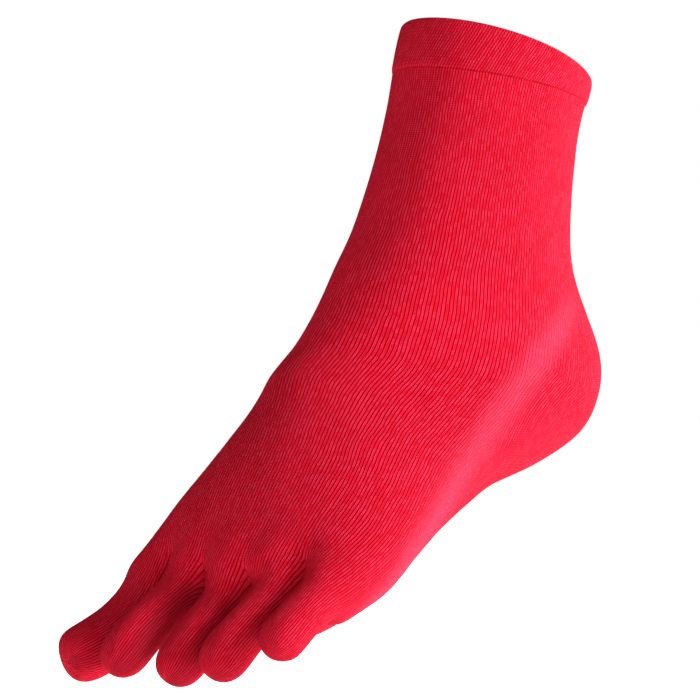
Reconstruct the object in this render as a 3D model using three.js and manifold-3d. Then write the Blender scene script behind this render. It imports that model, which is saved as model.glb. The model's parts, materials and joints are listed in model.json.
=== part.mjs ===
// A left toe sock in the shape that it has when worn, with the heel raised and the toes pointing down.
// Millimetres, +Z up, toes towards -X, little toe towards -Y. The middle of the cuff's mouth is the origin.
import * as THREE from "three";
import { mergeVertices } from "three/addons/utils/BufferGeometryUtils.js";
import Module from "manifold-3d";

// Walls and the gap between two pieces
const KNIT_WALL = 1.6;
const CUFF_WALL = 2.6;
const CUFF_PROUD = 0.5;
const JOIN_GAP = 0.3;

// Cuff, a doubled welt whose mouth rises a little at both sides
const CUFF_HEIGHT = 12.5;
const CUFF_DEPTH = 75;
const CUFF_WIDTH = 63;
const CUFF_SLOPE = 18;
const CUFF_LIFT = 1.2;

// Leg, from the mouth down to the ankle
const LEG_LENGTH = 66;
const LEG_LEAN = 15;
const LEG_DEPTH = 76;
const LEG_WIDTH = 62;

// Ankle and heel, from the ankle down to the front of the heel
const HEEL_DROP = 65;
const HEEL_SHIFT = 22;
const HEEL_DEPTH = 126;
const HEEL_WIDTH = 68;

// Foot, from the front of the heel to the roots of the toes
const FOOT_REACH = 74;
const FOOT_DROP = 52;
const FOOT_HEIGHT = 80;
const BALL_WIDTH = 91;

// Heel pocket, below a gore line that starts at the ankle and falls towards the back of the heel
const POCKET_BACK = 6;
const POCKET_DROP = 43;
const POCKET_GORE_FALL = 22;
const POCKET_SOLE_ANGLE = 60;

// Toe pockets
const BIG_TOE_LENGTH = 43;
const BIG_TOE_WIDTH = 22;
const BIG_TOE_HEIGHT = 19.5;
const SMALL_TOE_LENGTH = 44;
const SMALL_TOE_WIDTH = 15.4;
const SMALL_TOE_HEIGHT = 17;
const WEB_DIP = 4;
const WEB_REACH = 6;

// The tube's ring: as many steps over the foot as under it, from the inner side by the front
const HALF_RING_STEPS = 23;
const RING_STEPS = 2 * HALF_RING_STEPS;
const RINGS_PER_ROW = 2;
const OUTLINE_FINENESS = 12;
const TOE_SQUARENESS = 0.9;
const TOE_PATH_PIECES = 20;
const LIP_STEPS = 4;
const SAME_POINT = 1e-4;

const table = (columns, rows) => rows.map((row) => Object.fromEntries(row.map((v, i) => [columns[i], v])));
const ringPlace = (share) => Math.round(share * HALF_RING_STEPS);

// Sections of the tube. down and forward are shares of the stretch's own lengths, front, back, inner and
// outer are shares of its depth and width, and slope, skew and roll are degrees. crest moves the top
// of a section towards the big toe, and round squares its under side.
const SECTION = ["down", "forward", "slope", "skew", "roll", "front", "back", "inner", "outer", "crest", "round"];
const LEG_ROWS = table(SECTION, [
  [0.19, 0.24, 9.5, 0, 0, 0.487, 0.487, 0.5, 0.5, 0, 2],
  [0.39, 0.47, 8, 0, 0, 0.475, 0.485, 0.49, 0.49, 0, 2],
  [0.7, 0.74, 7, 0, 0, 0.505, 0.5, 0.51, 0.51, 0, 2],
  [1, 1, 7, 0, 0, 0.545, 0.555, 0.53, 0.53, 0.02, 1.9],
]);
const HEEL_ROWS = table(SECTION, [
  [0.23, 0.09, 5, 0, 0, 0.38, 0.385, 0.5, 0.5, 0.04, 1.9],
  [0.43, 0.09, 5, 0, 0, 0.428, 0.445, 0.5, 0.5, 0.07, 1.9],
  [0.605, 0.12, 7, 0, 0, 0.466, 0.485, 0.485, 0.485, 0.1, 2],
  [0.75, 0.24, 10, 0, 0, 0.482, 0.49, 0.478, 0.478, 0.12, 2],
  [0.875, 0.55, 14, 1, 1, 0.471, 0.478, 0.47, 0.47, 0.14, 2.1],
  [1, 1, 19, 2, 2, 0.436, 0.4, 0.47, 0.48, 0.16, 2.1],
]);
const FOOT_ROWS = table(SECTION, [
  [0.135, 0.135, 24, 4, 4, 0.613, 0.498, 0.363, 0.375, 0.17, 2.2],
  [0.26, 0.263, 29, 6, 6, 0.548, 0.455, 0.385, 0.398, 0.18, 2.2],
  [0.395, 0.385, 33, 8, 8, 0.502, 0.405, 0.407, 0.43, 0.19, 2.3],
  [0.53, 0.507, 36, 10, 11, 0.457, 0.375, 0.434, 0.458, 0.2, 2.3],
  [0.665, 0.628, 39, 12, 13, 0.41, 0.355, 0.46, 0.48, 0.2, 2.3],
  [0.795, 0.75, 42, 14, 14, 0.355, 0.345, 0.482, 0.498, 0.2, 2.4],
  [0.9, 0.87, 45, 16, 14, 0.283, 0.33, 0.497, 0.508, 0.15, 2.4],
  [1, 1, 48, 17, 14, 0.2, 0.31, 0.495, 0.5, 0.1, 2.4],
]);

// One row for each toe pocket. edge is the share of the half ring where the pocket ends, and length, width
// and height are shares of the toe's own named sizes. The two drops are degrees below level, and turn is
// degrees towards the big toe's side. rise is the share of the toe's height that its middle lies above its
// root's, blunt squares its tip, and waist is the share by which its middle is drawn in.
const TOE = [
  "name", "edge", "size", "length", "width", "height", "rise", "rootDrop", "tipDrop", "turn", "blunt", "waist",
];
const BIG = { length: BIG_TOE_LENGTH, width: BIG_TOE_WIDTH, height: BIG_TOE_HEIGHT };
const SMALL = { length: SMALL_TOE_LENGTH, width: SMALL_TOE_WIDTH, height: SMALL_TOE_HEIGHT };
const TOE_ROWS = table(TOE, [
  ["big_toe", 0.26, BIG, 1, 1, 1, -0.13, 55, 16, 6, 3.2, 0.04],
  ["second_toe", 0.435, SMALL, 1.03, 1.03, 1, 0.2, 28, 53, 0, 2.2, 0.06],
  ["third_toe", 0.61, SMALL, 0.91, 1.09, 1, 0.17, 42, 53, 3, 2.2, 0.06],
  ["fourth_toe", 0.78, SMALL, 0.92, 1.03, 1, 0.15, 35, 52, 3, 2.2, 0.08],
  ["little_toe", 1, SMALL, 0.72, 0.97, 0.93, 0.06, 34, 48, 1, 1.9, 0.04],
]).map((toe) => ({ ...toe, edge: ringPlace(toe.edge) }));

// How far onward each web lies beyond the last section, on top and under the foot, as shares of WEB_REACH.
// place is a share of the half ring.
const WEB_ROWS = table(["place", "above", "under"], [
  [0, 0, 0],
  [0.26, -0.5, -0.15],
  [0.435, 0.4, 0.3],
  [0.61, 0.65, 0.5],
  [0.78, -0.9, 0.65],
  [1, 0.5, 0.6],
]).map((row) => ({ ...row, place: ringPlace(row.place) }));
// How much of the web's dip the last sections have, the last one first
const DIP_SHARES = [1, 0.45, 0.12];
const DIP_BESIDE_WEB = 0.3;

const STUB_STEPS = [0.08, 0.17];
const TOE_STEPS = [...STUB_STEPS, 0.3, 0.44, 0.58, 0.71, 0.82, 0.91, 0.975];
const TIP_START = 0.76;

const { degToRad, smoothstep, lerp, clamp } = THREE.MathUtils;
const signedPower = (value, power) => Math.sign(value) * Math.abs(value) ** power;

// Section rows of the whole tube in millimetres: each stretch starts where the one before it ends
function placedRows() {
  const stretches = [
    [LEG_ROWS, LEG_LENGTH, LEG_LEAN, LEG_DEPTH, LEG_WIDTH],
    [HEEL_ROWS, HEEL_DROP, HEEL_SHIFT, HEEL_DEPTH, HEEL_WIDTH],
    [FOOT_ROWS, FOOT_DROP, FOOT_REACH, FOOT_HEIGHT, BALL_WIDTH],
  ];
  const placed = [];
  let x = 0;
  let z = 0;
  for (const [rows, drop, reach, depth, width] of stretches) {
    for (const row of rows) {
      placed.push({
        ...row,
        x: x - row.forward * reach,
        z: z - row.down * drop,
        front: row.front * depth,
        back: row.back * depth,
        inner: row.inner * width,
        outer: row.outer * width,
      });
    }
    x -= reach;
    z -= drop;
  }
  return placed;
}

// A row between two rows, on a smooth curve through all of them
function rowAt(rows, place) {
  const last = rows.length - 1;
  const i = Math.min(Math.floor(place), last - 1);
  const t = place - i;
  const [a, b, c, d] = [i - 1, i, i + 1, i + 2].map((k) => rows[clamp(k, 0, last)]);
  const curve = (key) => 0.5 * (2 * b[key] + (c[key] - a[key]) * t
    + (2 * a[key] - 5 * b[key] + 4 * c[key] - d[key]) * t ** 2
    + (3 * b[key] - a[key] - 3 * c[key] + d[key]) * t ** 3);
  return Object.fromEntries(Object.keys(b).map((key) => [key, curve(key)]));
}

// The directions of a section: up is its front or top, side the big toe's side, onward the way to the toes
function sectionFrame(row) {
  const slope = degToRad(row.slope);
  const skew = degToRad(row.skew);
  const roll = degToRad(row.roll);
  const top = new THREE.Vector3(-Math.cos(slope), 0, Math.sin(slope));
  const onward = new THREE.Vector3(-Math.sin(slope), 0, -Math.cos(slope));
  const across = new THREE.Vector3(0, Math.cos(skew), 0).addScaledVector(onward, Math.sin(skew));
  const up = top.clone().multiplyScalar(Math.cos(roll)).addScaledVector(across, -Math.sin(roll));
  const side = across.clone().multiplyScalar(Math.cos(roll)).addScaledVector(top, Math.sin(roll));
  return { up, side, onward };
}

// Points at equal steps along a stretch of an outline
function evenPoints(outline, from, to, count) {
  const fine = OUTLINE_FINENESS * count;
  const dense = Array.from({ length: fine + 1 }, (_, i) => outline(lerp(from, to, i / fine)));
  const lengths = [0];
  for (let i = 1; i <= fine; i++) lengths.push(lengths[i - 1] + dense[i].distanceTo(dense[i - 1]));
  const points = [];
  let j = 0;
  for (let k = 0; k < count; k++) {
    const goal = (k / count) * lengths[fine];
    while (lengths[j + 1] < goal) j++;
    points.push(dense[j].clone().lerp(dense[j + 1], (goal - lengths[j]) / (lengths[j + 1] - lengths[j])));
  }
  return points;
}

function sectionRing(row) {
  const { up, side } = sectionFrame(row);
  const centre = new THREE.Vector3(row.x, 0, row.z);
  const outline = (angle) => {
    const rise = Math.sin(angle);
    const spread = Math.cos(angle);
    const power = rise > 0 ? 1 : 2 / row.round;
    const height = signedPower(rise, power) * (rise > 0 ? row.front : row.back);
    const width = signedPower(spread, power) * (spread > 0 ? row.inner : row.outer);
    return centre.clone().addScaledVector(up, height)
      .addScaledVector(side, width + row.crest * Math.max(height, 0));
  };
  return [
    ...evenPoints(outline, 0, Math.PI, HALF_RING_STEPS),
    ...evenPoints(outline, Math.PI, 2 * Math.PI, HALF_RING_STEPS),
  ];
}

// How far a place on the ring is shifted onward at the webs, on a smooth curve through the web rows
function webShift(place) {
  const under = place > HALF_RING_STEPS;
  const mirrored = under ? RING_STEPS - place : place;
  const i = Math.max(WEB_ROWS.findIndex((row) => row.place >= mirrored) - 1, 0);
  const [a, b] = [WEB_ROWS[i], WEB_ROWS[i + 1]];
  const key = under ? "under" : "above";
  return WEB_REACH * lerp(a[key], b[key], smoothstep(mirrored, a.place, b.place));
}

// How much of the web's dip a place on the ring has: all of it on a web, some beside it, none elsewhere
function webWeight(place) {
  const mirrored = place > HALF_RING_STEPS ? RING_STEPS - place : place;
  const steps = Math.min(...TOE_ROWS.slice(0, -1).map((toe) => Math.abs(toe.edge - mirrored)));
  return [1, DIP_BESIDE_WEB][steps] ?? 0;
}

function tubeRings(rows) {
  const count = (rows.length - 1) * RINGS_PER_ROW;
  const rings = [];
  for (let i = 0; i <= count; i++) {
    const row = rowAt(rows, i / RINGS_PER_ROW);
    const ring = sectionRing(row);
    const dip = WEB_DIP * (DIP_SHARES[count - i] ?? 0);
    const shift = DIP_SHARES[count - i] ?? 0;
    const { up, onward } = sectionFrame(row);
    ring.forEach((point, place) => {
      const inward = place > HALF_RING_STEPS ? dip : -dip;
      point.addScaledVector(up, inward * webWeight(place));
      point.addScaledVector(onward, shift * webShift(place));
    });
    rings.push(ring);
  }
  return rings;
}

// The ring places that a toe grows from: over the top, down the web, back under, and up the other web
function toeLoop(index, webMiddle) {
  const from = index === 0 ? 0 : TOE_ROWS[index - 1].edge;
  const to = TOE_ROWS[index].edge;
  const loop = [];
  for (let place = from; place <= to; place++) loop.push(place);
  if (to < HALF_RING_STEPS) loop.push(webMiddle(to));
  const firstUnder = Math.max(RING_STEPS - to, HALF_RING_STEPS + 1);
  const lastUnder = Math.min(RING_STEPS - from, RING_STEPS - 1);
  for (let place = firstUnder; place <= lastUnder; place++) loop.push(place);
  if (from > 0) loop.push(webMiddle(from));
  return loop;
}

// Middle line of a toe: it starts at the root and bends from the root's drop to the tip's
function toePath(root, toe) {
  const length = toe.length * toe.size.length;
  const turn = degToRad(toe.turn);
  const direction = (t) => {
    const drop = degToRad(lerp(toe.rootDrop, toe.tipDrop, t));
    return new THREE.Vector3(-Math.cos(drop) * Math.cos(turn), Math.sin(turn), -Math.sin(drop) * Math.cos(turn));
  };
  const position = (t) => {
    const point = root.clone();
    const step = t / TOE_PATH_PIECES;
    for (let i = 0; i < TOE_PATH_PIECES; i++) {
      point.addScaledVector(direction(step * (i + 0.5)), step * length);
    }
    return point;
  };
  return { position, direction };
}

// A toe's rings from its root loop to its tip, and the point that closes the tip
function toeRings(rootPoints, toe, sectionUp, startsBesideWeb) {
  const root = rootPoints.reduce((sum, p) => sum.add(p), new THREE.Vector3()).divideScalar(rootPoints.length);
  root.addScaledVector(sectionUp, toe.rise * toe.height * toe.size.height);
  const { position, direction } = toePath(root, toe);
  const step = (2 * Math.PI) / rootPoints.length;
  const width = 0.5 * toe.width * toe.size.width;
  const height = 0.5 * toe.height * toe.size.height;
  const rings = TOE_STEPS.map((t) => {
    const onward = direction(t);
    const side = new THREE.Vector3(0, 1, 0).addScaledVector(onward, -onward.y).normalize();
    const up = side.clone().cross(onward).normalize();
    const tip = Math.max(0, (t - TIP_START) / (1 - TIP_START));
    const waist = 1 - toe.waist * Math.sin(Math.PI * Math.min(t / TIP_START, 1)) ** 2;
    const taper = waist * (1 - tip ** toe.blunt) ** (1 / toe.blunt);
    const middle = position(t);
    const shift = middle.clone().sub(root);
    return rootPoints.map((rootPoint, k) => {
      const angle = step * (k + (startsBesideWeb ? 1 : 0));
      const rounded = middle.clone()
        .addScaledVector(side, signedPower(Math.cos(angle), TOE_SQUARENESS) * width * taper)
        .addScaledVector(up, signedPower(Math.sin(angle), TOE_SQUARENESS) * height * taper);
      return rootPoint.clone().add(shift).lerp(rounded, smoothstep(t, 0, STUB_STEPS[1]));
    });
  });
  return { rings, tip: position(1), start: direction(STUB_STEPS[1]) };
}

// The sock's whole outer surface below the cuff, as points and as faces that know their piece
function outerSurface() {
  const points = [];
  const faces = [];
  const rows = placedRows();
  const rings = tubeRings(rows);
  rings.forEach((ring) => points.push(...ring));
  const band = (near, far, piece) => near.forEach((_, k) => {
    const next = (k + 1) % near.length;
    faces.push({ piece, corners: [near[k], far[k], far[next], near[next]] });
  });
  const ringIndexes = (i) => Array.from({ length: RING_STEPS }, (_, k) => i * RING_STEPS + k);
  for (let i = 0; i + 1 < rings.length; i++) band(ringIndexes(i), ringIndexes(i + 1), "tube");

  const last = (rings.length - 1) * RING_STEPS;
  const middles = {};
  TOE_ROWS.slice(0, -1).forEach(({ edge }) => {
    middles[edge] = points.length;
    points.push(points[last + edge].clone().lerp(points[last + RING_STEPS - edge], 0.5));
  });
  const webMiddle = (edge) => middles[edge] - last;
  const { up, onward } = sectionFrame(rows[rows.length - 1]);
  const joins = [{ places: ringIndexes(0), onward: sectionFrame(rows[0]).onward }];
  TOE_ROWS.forEach((toe, index) => {
    const loop = toeLoop(index, webMiddle).map((place) => last + place);
    const { rings: toeRingPoints, tip, start } = toeRings(loop.map((i) => points[i]), toe, up, index > 0);
    let near = loop;
    toeRingPoints.forEach((ring, i) => {
      const far = ring.map((point) => points.push(point) - 1);
      band(near, far, i < STUB_STEPS.length ? "tube" : toe.name);
      if (i === STUB_STEPS.length - 1) joins.push({ name: toe.name, places: far, onward: start });
      near = far;
    });
    const pole = points.push(tip) - 1;
    near.forEach((corner, k) => {
      faces.push({ piece: toe.name, corners: [corner, pole, near[(k + 1) % near.length]] });
    });
  });
  return { points, faces, rows, webMiddles: Object.values(middles), onward, joins };
}

const triangles = (corners) => corners.slice(2).map((_, i) => [corners[0], corners[i + 1], corners[i + 2]]);

// Outward directions of the surface. Between two toes the walls cancel out, so a web points onward, and
// where two pieces meet the directions lie in the plane of the join.
function outwardNormals({ points, faces, webMiddles, onward, joins }) {
  const normals = points.map(() => new THREE.Vector3());
  for (const { corners } of faces) {
    for (const [a, b, c] of triangles(corners)) {
      const ab = points[b].clone().sub(points[a]);
      const normal = points[c].clone().sub(points[a]);
      normal.crossVectors(ab, normal);
      [a, b, c].forEach((i) => normals[i].add(normal));
    }
  }
  webMiddles.forEach((i) => normals[i].copy(onward));
  for (const join of joins) {
    join.places.forEach((i) => normals[i].projectOnPlane(join.onward));
  }
  return normals.map((normal) => normal.normalize());
}

// A closed solid from part of an outer surface: the surface, its inner copy and the rims between them
function wallGeometry(points, normals, faces, wall) {
  const corner = new Map();
  const positions = [];
  const indexes = [];
  const used = (i, side) => {
    const key = `${i} ${side}`;
    if (!corner.has(key)) {
      const point = points[i].clone().addScaledVector(normals[i], side === "inner" ? -wall : 0);
      positions.push(point.x, point.y, point.z);
      corner.set(key, corner.size);
    }
    return corner.get(key);
  };
  const edges = new Map();
  for (const { corners } of faces) {
    for (const [a, b, c] of triangles(corners)) {
      indexes.push(used(a, "outer"), used(b, "outer"), used(c, "outer"));
      indexes.push(used(a, "inner"), used(c, "inner"), used(b, "inner"));
    }
    corners.forEach((from, k) => {
      const to = corners[(k + 1) % corners.length];
      if (!edges.delete(`${to} ${from}`)) edges.set(`${from} ${to}`, [from, to]);
    });
  }
  for (const [from, to] of edges.values()) {
    indexes.push(used(to, "outer"), used(from, "outer"), used(from, "inner"));
    indexes.push(used(to, "outer"), used(from, "inner"), used(to, "inner"));
  }
  const geometry = new THREE.BufferGeometry();
  geometry.setAttribute("position", new THREE.Float32BufferAttribute(positions, 3));
  geometry.setIndex(indexes);
  return geometry;
}

// The cuff is one closed profile, round at the mouth, carried round the leg
function cuffGeometry(seamRow) {
  const mouthRow = {
    ...seamRow, x: 0, z: 0, slope: CUFF_SLOPE,
    front: CUFF_DEPTH / 2, back: CUFF_DEPTH / 2, inner: CUFF_WIDTH / 2, outer: CUFF_WIDTH / 2,
  };
  const proudRow = { ...seamRow };
  for (const key of ["front", "back", "inner", "outer"]) proudRow[key] += CUFF_PROUD;
  const mouth = sectionRing(mouthRow);
  const seam = sectionRing(proudRow);
  const { onward } = sectionFrame(seamRow);
  const radius = CUFF_WALL / 2;
  const profile = [{ along: CUFF_HEIGHT, depth: 0 }, { along: CUFF_HEIGHT / 2, depth: -CUFF_PROUD / 2 }];
  for (let i = 0; i <= LIP_STEPS; i++) {
    const angle = (Math.PI * i) / LIP_STEPS;
    profile.push({ along: radius * (1 - Math.sin(angle)), depth: radius * (1 - Math.cos(angle)) });
  }
  profile.push({ along: CUFF_HEIGHT, depth: CUFF_WALL });
  const positions = [];
  mouth.forEach((top, k) => {
    const lift = CUFF_LIFT * (2 * Math.abs(top.y) / CUFF_WIDTH) ** 2;
    const raised = top.clone().add(new THREE.Vector3(0, 0, lift));
    const around = mouth[(k + 1) % RING_STEPS].clone().sub(mouth[(k + RING_STEPS - 1) % RING_STEPS]);
    const inward = around.cross(seam[k].clone().sub(top)).projectOnPlane(onward).normalize();
    for (const { along, depth } of profile) {
      const point = raised.clone().lerp(seam[k], along / CUFF_HEIGHT).addScaledVector(inward, depth);
      positions.push(point.x, point.y, point.z);
    }
  });
  const indexes = [];
  for (let k = 0; k < RING_STEPS; k++) {
    for (let j = 0; j < profile.length; j++) {
      const [a, b] = [k * profile.length + j, k * profile.length + ((j + 1) % profile.length)];
      const [c, d] = [a, b].map((i) => (i + profile.length) % (RING_STEPS * profile.length));
      indexes.push(a, c, d, a, d, b);
    }
  }
  const geometry = new THREE.BufferGeometry();
  geometry.setAttribute("position", new THREE.Float32BufferAttribute(positions, 3));
  geometry.setIndex(indexes);
  return geometry;
}

// The wedge that holds the heel pocket, its edge across the foot, moved outwards by a clearance
function pocketWedge(clearance) {
  const reach = 2 * HEEL_DEPTH;
  const x = POCKET_BACK - LEG_LEAN;
  const z = -LEG_LENGTH - POCKET_DROP;
  const gore = degToRad(POCKET_GORE_FALL);
  const sole = degToRad(POCKET_SOLE_ANGLE);
  const goreNormal = new THREE.Vector2(Math.sin(gore), Math.cos(gore));
  const soleNormal = new THREE.Vector2(-Math.sin(sole), Math.cos(sole));
  const edge = goreNormal.clone().add(soleNormal).multiplyScalar(clearance / (1 + goreNormal.dot(soleNormal)));
  const shape = new THREE.Shape([
    edge,
    new THREE.Vector2(reach * Math.cos(gore), -reach * Math.sin(gore)).add(edge),
    new THREE.Vector2(reach, -2 * reach),
    new THREE.Vector2(-reach * Math.cos(sole), -reach * Math.sin(sole)).add(edge),
  ]);
  const geometry = new THREE.ExtrudeGeometry(shape, { depth: 2 * HEEL_WIDTH, bevelEnabled: false });
  geometry.rotateX(Math.PI / 2);
  geometry.translate(x, HEEL_WIDTH, z);
  return geometry;
}

const wasm = await Module();
wasm.setup();

function toSolid(geometry) {
  const bare = geometry.clone();
  bare.deleteAttribute("normal");
  bare.deleteAttribute("uv");
  const merged = mergeVertices(bare, SAME_POINT);
  return new wasm.Manifold(new wasm.Mesh({
    numProp: 3,
    vertProperties: merged.getAttribute("position").array,
    triVerts: new Uint32Array(merged.getIndex().array),
  }));
}

function toGeometry(solid) {
  const mesh = solid.getMesh();
  const geometry = new THREE.BufferGeometry();
  geometry.setAttribute("position", new THREE.BufferAttribute(mesh.vertProperties, 3));
  geometry.setIndex(new THREE.BufferAttribute(mesh.triVerts, 1));
  return geometry;
}

const knit = () => new THREE.MeshStandardMaterial({ color: 0xcf1c33, roughness: 0.92, metalness: 0 });
const rib = () => new THREE.MeshStandardMaterial({ color: 0xd42a40, roughness: 0.94, metalness: 0 });

function piece(name, geometry, material) {
  geometry.computeVertexNormals();
  const mesh = new THREE.Mesh(geometry, material);
  mesh.name = name;
  return mesh;
}

// The surface's points with those of one join moved onward, which leaves a gap to the piece before it
function movedPoints(points, { places, onward }) {
  const moved = points.map((point) => point.clone());
  places.forEach((place) => moved[place].addScaledVector(onward, JOIN_GAP));
  return moved;
}

function toeSock() {
  const sock = new THREE.Group();
  const surface = outerSurface();
  const normals = outwardNormals(surface);
  const facesOf = (name) => surface.faces.filter((face) => face.piece === name);

  sock.add(piece("cuff", cuffGeometry(surface.rows[0]), rib()));

  const [seam, ...toeJoins] = surface.joins;
  const tubePoints = movedPoints(surface.points, seam);
  const tube = toSolid(wallGeometry(tubePoints, normals, facesOf("tube"), KNIT_WALL));
  sock.add(piece("leg_and_foot", toGeometry(tube.subtract(toSolid(pocketWedge(JOIN_GAP)))), knit()));
  sock.add(piece("heel_pocket", toGeometry(tube.intersect(toSolid(pocketWedge(0)))), knit()));

  for (const join of toeJoins) {
    const toePoints = movedPoints(surface.points, join);
    sock.add(piece(join.name, wallGeometry(toePoints, normals, facesOf(join.name), KNIT_WALL), knit()));
  }
  return sock;
}

export default toeSock();
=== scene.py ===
import json
import math

import bpy
import numpy as np
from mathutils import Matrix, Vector

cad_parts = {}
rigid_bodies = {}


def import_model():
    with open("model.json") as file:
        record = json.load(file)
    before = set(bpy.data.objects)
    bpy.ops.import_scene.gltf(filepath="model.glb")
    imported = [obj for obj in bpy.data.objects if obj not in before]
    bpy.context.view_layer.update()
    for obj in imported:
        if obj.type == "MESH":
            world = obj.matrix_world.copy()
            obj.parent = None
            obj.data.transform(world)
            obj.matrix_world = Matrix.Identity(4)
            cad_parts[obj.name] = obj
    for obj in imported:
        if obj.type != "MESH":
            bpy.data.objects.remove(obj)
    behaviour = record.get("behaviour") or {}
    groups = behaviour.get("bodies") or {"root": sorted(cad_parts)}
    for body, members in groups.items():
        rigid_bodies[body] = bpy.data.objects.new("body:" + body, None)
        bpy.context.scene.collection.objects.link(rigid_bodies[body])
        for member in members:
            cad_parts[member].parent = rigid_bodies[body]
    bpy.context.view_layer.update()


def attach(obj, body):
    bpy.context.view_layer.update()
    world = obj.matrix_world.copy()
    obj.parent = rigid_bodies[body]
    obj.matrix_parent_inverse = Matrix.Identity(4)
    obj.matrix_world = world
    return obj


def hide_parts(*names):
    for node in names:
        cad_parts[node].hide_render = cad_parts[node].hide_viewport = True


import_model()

# A left toe sock in the shape that it has when worn, knitted in one tube with a heel pocket and five toe
# pockets, below a doubled cuff. Metres, +Z up, toes towards -X, little toe towards -Y, and the middle of the
# cuff's mouth at the origin.

bl_info = {
    "name": "Toe Sock",
    "version": (1, 0, 0),
    "blender": (4, 5, 0),
    "location": "3D View > Sidebar > Toe Sock",
    "description": "Knits a toe sock in its worn shape and sets it in soft light",
    "category": "Add Mesh",
}

MM = 0.001


def table(columns, rows):
    """Rows of numbers as dictionaries with the columns' names."""
    return [dict(zip(columns, row)) for row in rows]


# Sections of the tube. down and forward are shares of the stretch's own lengths, front, back, inner and outer
# are shares of its depth and width, and slope, skew and roll are degrees. crest moves the top of a section
# towards the big toe, and round squares its under side.
SECTION = ("down", "forward", "slope", "skew", "roll", "front", "back", "inner", "outer", "crest", "round")
LEG_ROWS = table(SECTION, (
    (0.19, 0.24, 9.5, 0, 0, 0.487, 0.487, 0.5, 0.5, 0, 2),
    (0.39, 0.47, 8, 0, 0, 0.475, 0.485, 0.49, 0.49, 0, 2),
    (0.7, 0.74, 7, 0, 0, 0.505, 0.5, 0.51, 0.51, 0, 2),
    (1, 1, 7, 0, 0, 0.545, 0.555, 0.53, 0.53, 0.02, 1.9),
))
HEEL_ROWS = table(SECTION, (
    (0.23, 0.09, 5, 0, 0, 0.38, 0.385, 0.5, 0.5, 0.04, 1.9),
    (0.43, 0.09, 5, 0, 0, 0.428, 0.445, 0.5, 0.5, 0.07, 1.9),
    (0.605, 0.12, 7, 0, 0, 0.466, 0.485, 0.485, 0.485, 0.1, 2),
    (0.75, 0.24, 10, 0, 0, 0.482, 0.49, 0.478, 0.478, 0.12, 2),
    (0.875, 0.55, 14, 1, 1, 0.471, 0.478, 0.47, 0.47, 0.14, 2.1),
    (1, 1, 19, 2, 2, 0.436, 0.4, 0.47, 0.48, 0.16, 2.1),
))
FOOT_ROWS = table(SECTION, (
    (0.135, 0.135, 24, 4, 4, 0.613, 0.498, 0.363, 0.375, 0.17, 2.2),
    (0.26, 0.263, 29, 6, 6, 0.548, 0.455, 0.385, 0.398, 0.18, 2.2),
    (0.395, 0.385, 33, 8, 8, 0.502, 0.405, 0.407, 0.43, 0.19, 2.3),
    (0.53, 0.507, 36, 10, 11, 0.457, 0.375, 0.434, 0.458, 0.2, 2.3),
    (0.665, 0.628, 39, 12, 13, 0.41, 0.355, 0.46, 0.48, 0.2, 2.3),
    (0.795, 0.75, 42, 14, 14, 0.355, 0.345, 0.482, 0.498, 0.2, 2.4),
    (0.9, 0.87, 45, 16, 14, 0.283, 0.33, 0.497, 0.508, 0.15, 2.4),
    (1, 1, 48, 17, 14, 0.2, 0.31, 0.495, 0.5, 0.1, 2.4),
))

# The tube's ring: as many steps over the foot as under it, from the inner side by the front
HALF_RING = 23
RING = 2 * HALF_RING

# One row for each toe pocket. edge is the share of the half ring where the pocket ends, and length, width and
# height are shares of the toe's own sizes. The two drops are degrees below level, and turn is degrees towards
# the big toe's side. rise is the share of the toe's height that its middle lies above its root's, blunt
# squares its tip, and waist is the share by which its middle is drawn in.
TOE = (
    "name", "edge", "size", "length", "width", "height", "rise", "root_drop", "tip_drop", "turn", "blunt",
    "waist")
TOE_ROWS = table(TOE, (
    ("big_toe", 0.26, "big_toe", 1, 1, 1, -0.13, 55, 16, 6, 3.2, 0.04),
    ("second_toe", 0.435, "small_toe", 1.03, 1.03, 1, 0.2, 28, 53, 0, 2.2, 0.06),
    ("third_toe", 0.61, "small_toe", 0.91, 1.09, 1, 0.17, 42, 53, 3, 2.2, 0.06),
    ("fourth_toe", 0.78, "small_toe", 0.92, 1.03, 1, 0.15, 35, 52, 3, 2.2, 0.08),
    ("little_toe", 1, "small_toe", 0.72, 0.97, 0.93, 0.06, 34, 48, 1, 1.9, 0.04),
))

# How far onward each web lies beyond the last section, on top and under the foot, as shares of the web's
# reach. place is a share of the half ring.
WEB_ROWS = table(("place", "above", "under"), (
    (0, 0, 0),
    (0.26, -0.5, -0.15),
    (0.435, 0.4, 0.3),
    (0.61, 0.65, 0.5),
    (0.78, -0.9, 0.65),
    (1, 0.5, 0.6),
))
for row in TOE_ROWS:
    row["edge"] = round(row["edge"] * HALF_RING)
for row in WEB_ROWS:
    row["place"] = round(row["place"] * HALF_RING)
DIP_SHARES = (1, 0.45, 0.12)
DIP_BESIDE_WEB = (1, 0.3)

RINGS_PER_ROW = 2
STUB_STEPS = (0.08, 0.17)
TOE_STEPS = STUB_STEPS + (0.3, 0.44, 0.58, 0.71, 0.82, 0.91, 0.975)
TIP_START = 0.76
OUTLINE_FINENESS = 12
TOE_SQUARENESS = 0.9
TOE_PATH_PIECES = 20
# Rounding a coarse ring draws it in, and the toes are made this much fuller for it
TOE_FULLNESS = 1.045
ROUNDING = 2
# Steps of the ring hold this many wales, so that the toes' wales meet the foot's
WALES_PER_STEP = 4.5
# How sharply the heel's wales turn from its middle into the arcs at its sides
TURN_SHARPNESS = 4
# Points nearer to each other than this count as one, and no shorter distance is divided by
TINY = 0.01 * MM
# Distance in metres from one swell of the worn cloth to the next
SWELL_SPACING = 0.022
SMOOTH_ANGLE = math.radians(50)

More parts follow.
